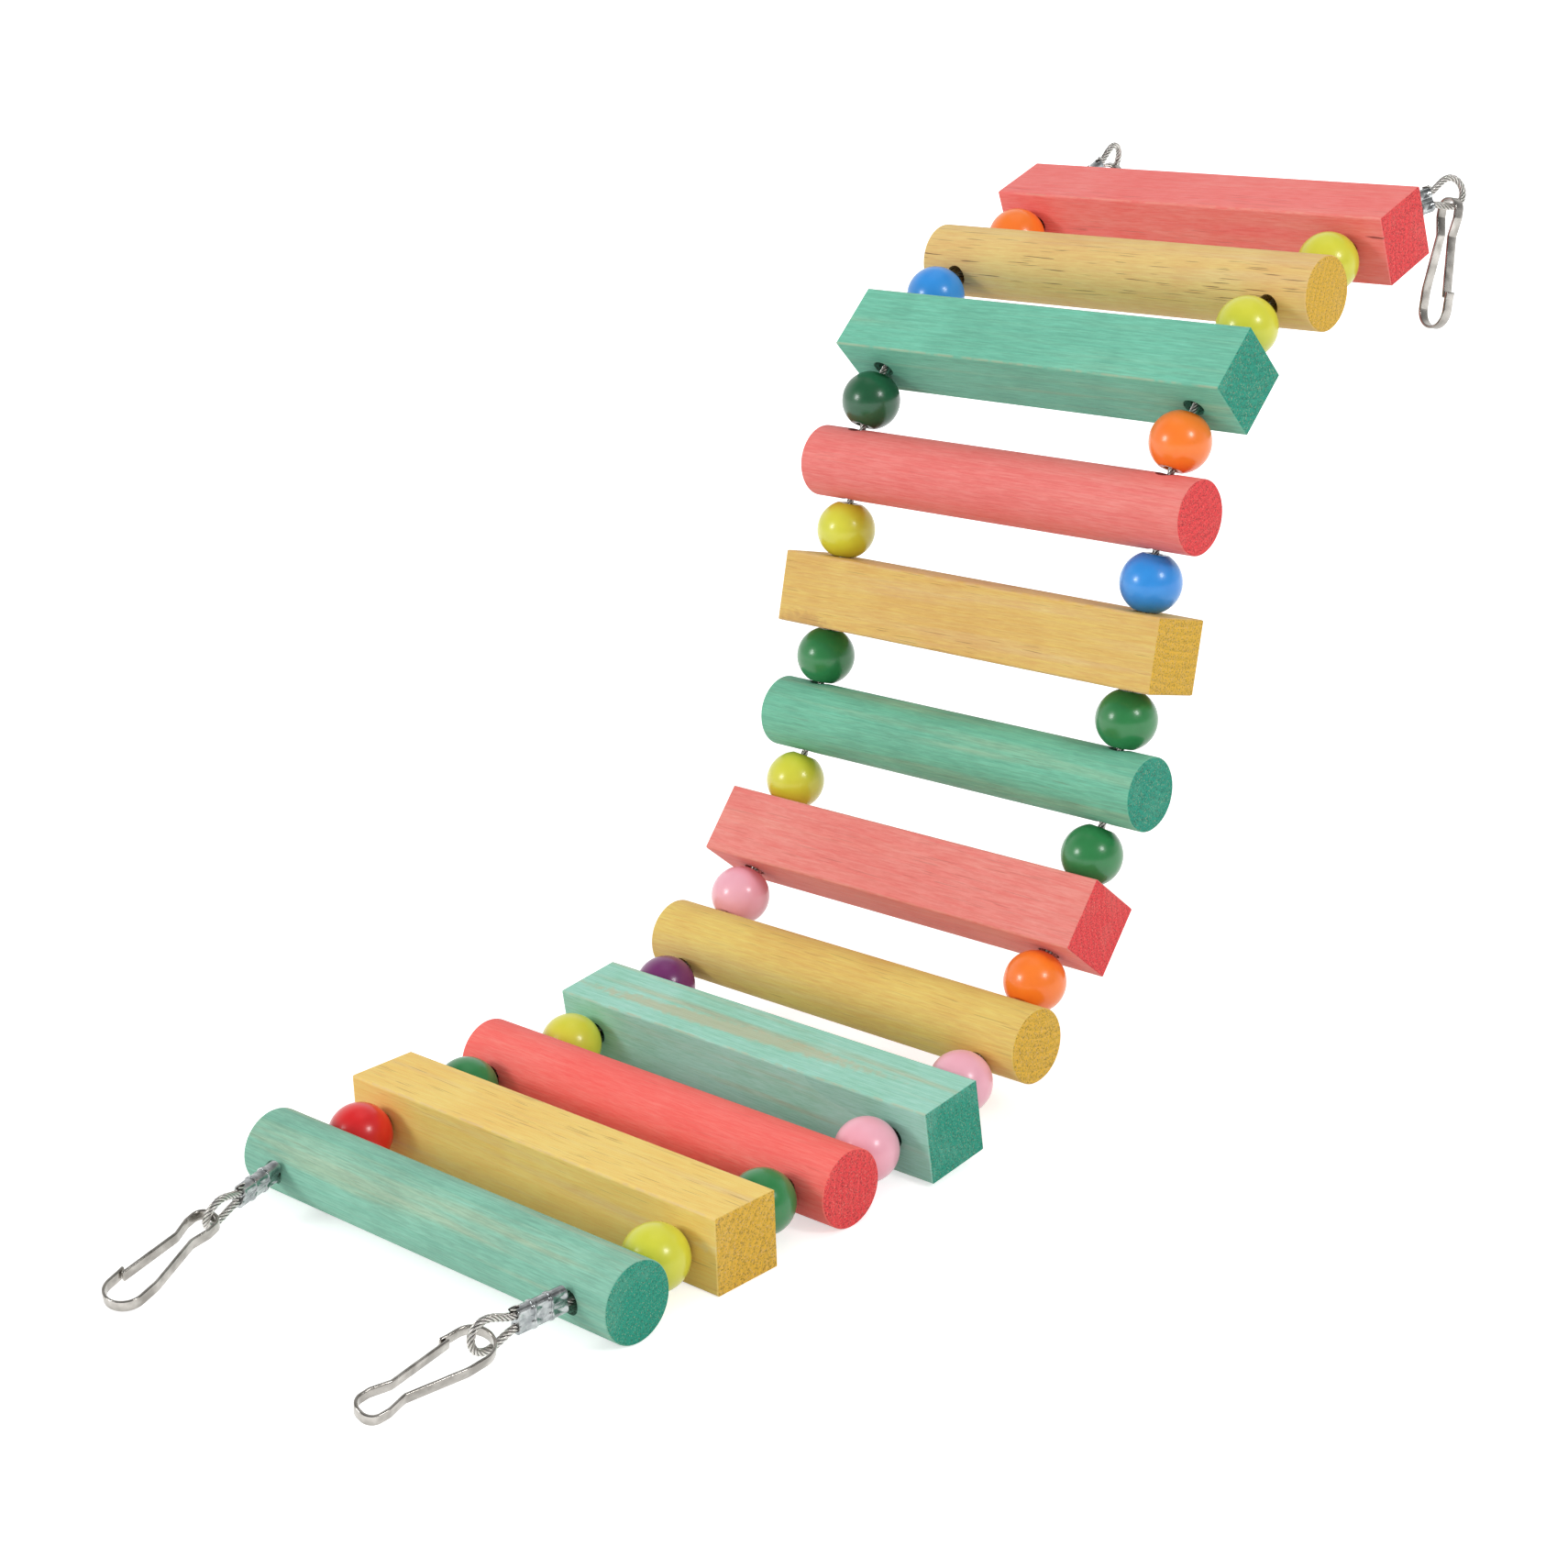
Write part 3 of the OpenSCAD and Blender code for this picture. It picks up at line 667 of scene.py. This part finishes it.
# zinc-coated wire is a dull grey metal; the wires in a strand are 0.2 mm thick
outer_wires = 6
wire_lay = 4 * MM
around = add(tree, "ShaderNodeAttribute", attribute_name="around").outputs["Vector"]
along = add(tree, "ShaderNodeAttribute", attribute_name="along").outputs["Fac"]
axes = add(tree, "ShaderNodeSeparateXYZ", {0: around}).outputs
angle = maths(tree, "ARCTAN2", axes[1], axes[0])
# the wires turn the other way round than the strands
twist = maths(tree, "MULTIPLY_ADD", along, -2 * math.pi * outer_wires / wire_lay,
              maths(tree, "MULTIPLY", angle, outer_wires))
crown = spread(tree, maths(tree, "COSINE", twist), -1, 0.6)
# painted shade: the grooves between the strands and the valleys between the wires are coloured dark,
# for the shade that falls there
crest = add(tree, "ShaderNodeAttribute", attribute_name="crest").outputs["Fac"]
groove_shade_factor = spread(tree, crest, 0.7, 0.95)
bright = maths(tree, "MULTIPLY", spread(tree, crown, 0, 1, 0.55, 1), groove_shade_factor)
place = add(tree, "ShaderNodeTexCoord").outputs["Object"]
dull = add(tree, "ShaderNodeTexNoise", {"Vector": place, "Scale": 1500, "Detail": 2}).outputs[1]
# the dark colour is painted shade in the creases, the pale one is the wire's own grey
shade = blend(tree, bright, linear("#4A4640"), linear("#EAE7E1"))
shade = blend(tree, 0.2, shade, dull, "SOFT_LIGHT")
tree.links.new(shade, shader.inputs["Base Color"])
shader.inputs["Metallic"].default_value = 1
shader.inputs["Roughness"].default_value = 0.3
bump = add(tree, "ShaderNodeBump", {"Height": crown, "Distance": 0.06 * MM, "Strength": 0.7})
tree.links.new(bump.outputs[0], shader.inputs["Normal"])
print("wire material has", len(tree.nodes), "nodes")

# %% Lay the two ropes
def laid_mesh(name, points, sizes):
    """Runs the rope tree on a line of points and gives back a plain mesh object."""
    curve = bpy.data.curves.new(name, "CURVE")
    curve.dimensions = "3D"
    spline = curve.splines.new("POLY")
    spline.points.add(len(points) - 1)
    for point, p in zip(spline.points, points):
        point.co = (*p, 1)
    source = link_object(name, curve)
    modifier = source.modifiers.new("laid_rope", "NODES")
    modifier.node_group = laid
    socket_ids = {s.name: s.identifier for s in laid.interface.items_tree if s.in_out == "INPUT"}
    modifier[socket_ids["Finish"]] = steel_wire
    for key, value in sizes.items():
        modifier[socket_ids[key]] = value
    ready = source.evaluated_get(bpy.context.evaluated_depsgraph_get())
    mesh = bpy.data.meshes.new_from_object(ready)
    mesh.name = name
    bpy.data.objects.remove(source)
    return link_object(name, mesh)


for n, word in enumerate(("left", "right")):
    rope = laid_mesh(f"wire_rope_{word}", rope_route(n), {"Rope Radius": 1.0 * MM})
    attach(rope, "ladder")
    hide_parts(f"rope_{word}")
    rope.data.calc_loop_triangles()
    print(rope.name, "has", len(rope.data.loop_triangles), "triangles")

# %% [markdown]
# Beside each eye a cut end of the rope peeps out of the ferrule's mouth, just
# outside the leg. It is a nub of a few strands, and a little more than a millimetre
# of it shows. The same tree makes it, on a short straight route with three strands.

# %% Cut ends at the ferrules' mouths
nub_from_leg = 3.25
nub_starts = -1.2  # inside the mouth, so that the nub has no open end
for n, word in enumerate(corners):
    mouth = end_frame(n)[4] + ferrule_len
    nub = [(end_point(n, mouth + nub_starts + 0.5 * i, barrel_gap / 2 + nub_from_leg) + home) * MM
           for i in range(6)]
    piece = laid_mesh(f"cut_end_{word}", nub, {
        "Rope Radius": 0.7 * MM, "Strands": 3, "Step": 0.25 * MM})
    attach(piece, "ladder")
print("cut ends:", len(corners))

# %% [markdown]
# ## Ferrules and snap hooks
# A ferrule is a soft aluminium sleeve squeezed by a press. The jaws leave two
# ridges across it and six shallow pockets on each face. A hook is bent from flat
# strip and plated, and its edges are broken by tumbling. Both CAD shapes are right
# but their edges are knife sharp, and a sharp edge has no line of light on it. So
# each piece is a copy of its solid with a small bevel, and that catches the light.
# The ferrule's copy is also split finely and pressed inwards, pocket by pocket.

# %% Copies with softened edges
def softened(name, new_name, width, body, material, press=None):
    """A copy of a CAD node whose sharp edges are rounded by a width in metres."""
    bm = bmesh.new()
    bm.from_mesh(nodes[name].data)
    bmesh.ops.remove_doubles(bm, verts=bm.verts, dist=2e-6)
    bmesh.ops.dissolve_limit(bm, angle_limit=math.radians(0.5), verts=bm.verts, edges=bm.edges)
    sharp = [e for e in bm.edges if e.is_manifold and e.calc_face_angle() > math.radians(32)]
    bmesh.ops.bevel(bm, geom=sharp, offset=width, segments=4, profile=0.5, affect="EDGES",
                    clamp_overlap=True)
    bmesh.ops.triangulate(bm, faces=[f for f in bm.faces if len(f.verts) > 4])
    if press:
        press(bm)
    mesh = bpy.data.meshes.new(new_name)
    bm.to_mesh(mesh)
    bm.free()
    mesh.shade_smooth()
    mesh.set_sharp_from_angle(angle=math.radians(38))
    mesh.materials.append(material)
    piece = link_object(new_name, mesh)
    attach(piece, body)
    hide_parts(name)
    return piece


# %% The marks of the press
# in millimetres: a pocket's depth, half its width, and the longest edge of the mesh
pocket_depth, pocket_half, finest = 0.46, 1.3, 0.4


def jaw_marks(n):
    """Gives a function that presses six pockets into each broad face of ferrule n."""
    along, across, starts = end_frame(n)[2:]
    thick = along.cross(across)
    middle = (end_point(n, starts + ferrule_len / 2, barrel_gap / 2) + home) * MM
    zone = (ferrule_len - 2 * ridge_w) / 3
    pitch = zone + ridge_w

    def press(bm):
        # the pockets need a mesh with no long edges, and a few rounds of halving give it
        for _ in range(6):
            long_edges = [e for e in bm.edges if e.calc_length() > finest * MM]
            if long_edges:
                bmesh.ops.subdivide_edges(bm, edges=long_edges, cuts=1)
                bmesh.ops.triangulate(bm, faces=bm.faces)
        # each pocket is a hollow pyramid, and only the two broad faces are pressed
        for v in bm.verts:
            off = (v.co - middle) / MM
            s, t, w = off.dot(along), off.dot(across), off.dot(thick)
            in_zone = (s + pitch / 2) % pitch - pitch / 2
            lengthwise = max(0, 1 - abs(2 * in_zone / zone))
            crosswise = max(0, 1 - abs((abs(t) - barrel_gap / 2) / pocket_half))
            facing = min(1, max(0, (abs(w) - 0.9) / 0.9))
            v.co -= thick * math.copysign(pocket_depth * min(lengthwise, crosswise) * facing, w) * MM

    return press


print("a pocket is", pocket_depth, "mm deep and", 2 * pocket_half, "mm wide")

# %% Pressed aluminium
def bright_metal(name, blotches, detail, tone_range, dark, light):
    """A polished metal whose colour and polish drift a little over each piece."""
    material, tree, shader = new_material(name)
    place = add(tree, "ShaderNodeTexCoord").outputs["Object"]
    drift = add(tree, "ShaderNodeTexNoise", {
        "Vector": place, "Scale": blotches, "Detail": detail}).outputs[0]
    tree.links.new(spread(tree, drift, 0.3, 0.7, 0.2, 0.28), shader.inputs["Roughness"])
    shade = blend(tree, spread(tree, drift, *tone_range), linear(dark), linear(light))
    tree.links.new(shade, shader.inputs["Base Color"])
    shader.inputs["Metallic"].default_value = 1
    return material, tree, shader


# bright soft aluminium: a clean pale metal, a little duller where the jaws rubbed
aluminium = bright_metal("pressed_aluminium", 500, 2, (0.38, 0.66), "#929698", "#C4C8C8")[0]
for n, word in enumerate(corners):
    piece = softened(f"ferrule_{word}", f"pressed_ferrule_{word}", 0.14 * MM, "ladder",
                     aluminium, jaw_marks(n))
print("ferrules:", len(corners), "last one has", len(piece.data.polygons), "faces")

# %% Nickel-plated strip
# thin bright plating over rolled strip: polished by tumbling, a little warmer than steel
nickel, tree, shader = bright_metal(
    "nickel_plated_strip", 220, 3, (0.35, 0.65), "#96928C", "#C2BEB8")
# the strip isn't quite flat after bending, so reflections wander every 5 mm or so
place = add(tree, "ShaderNodeTexCoord").outputs["Object"]
ripple = add(tree, "ShaderNodeTexNoise", {"Vector": place, "Scale": 200, "Detail": 0}).outputs[0]
bump = add(tree, "ShaderNodeBump", {"Height": ripple, "Distance": 0.5 * MM, "Strength": 0.6})
tree.links.new(bump.outputs[0], shader.inputs["Normal"])
for word in corners:
    piece = softened(f"hook_{word}", f"snap_hook_{word}", 0.36 * MM, f"hook_{word}",
                     nickel)
print("hooks:", len(corners), "last one has", len(piece.data.polygons), "faces")
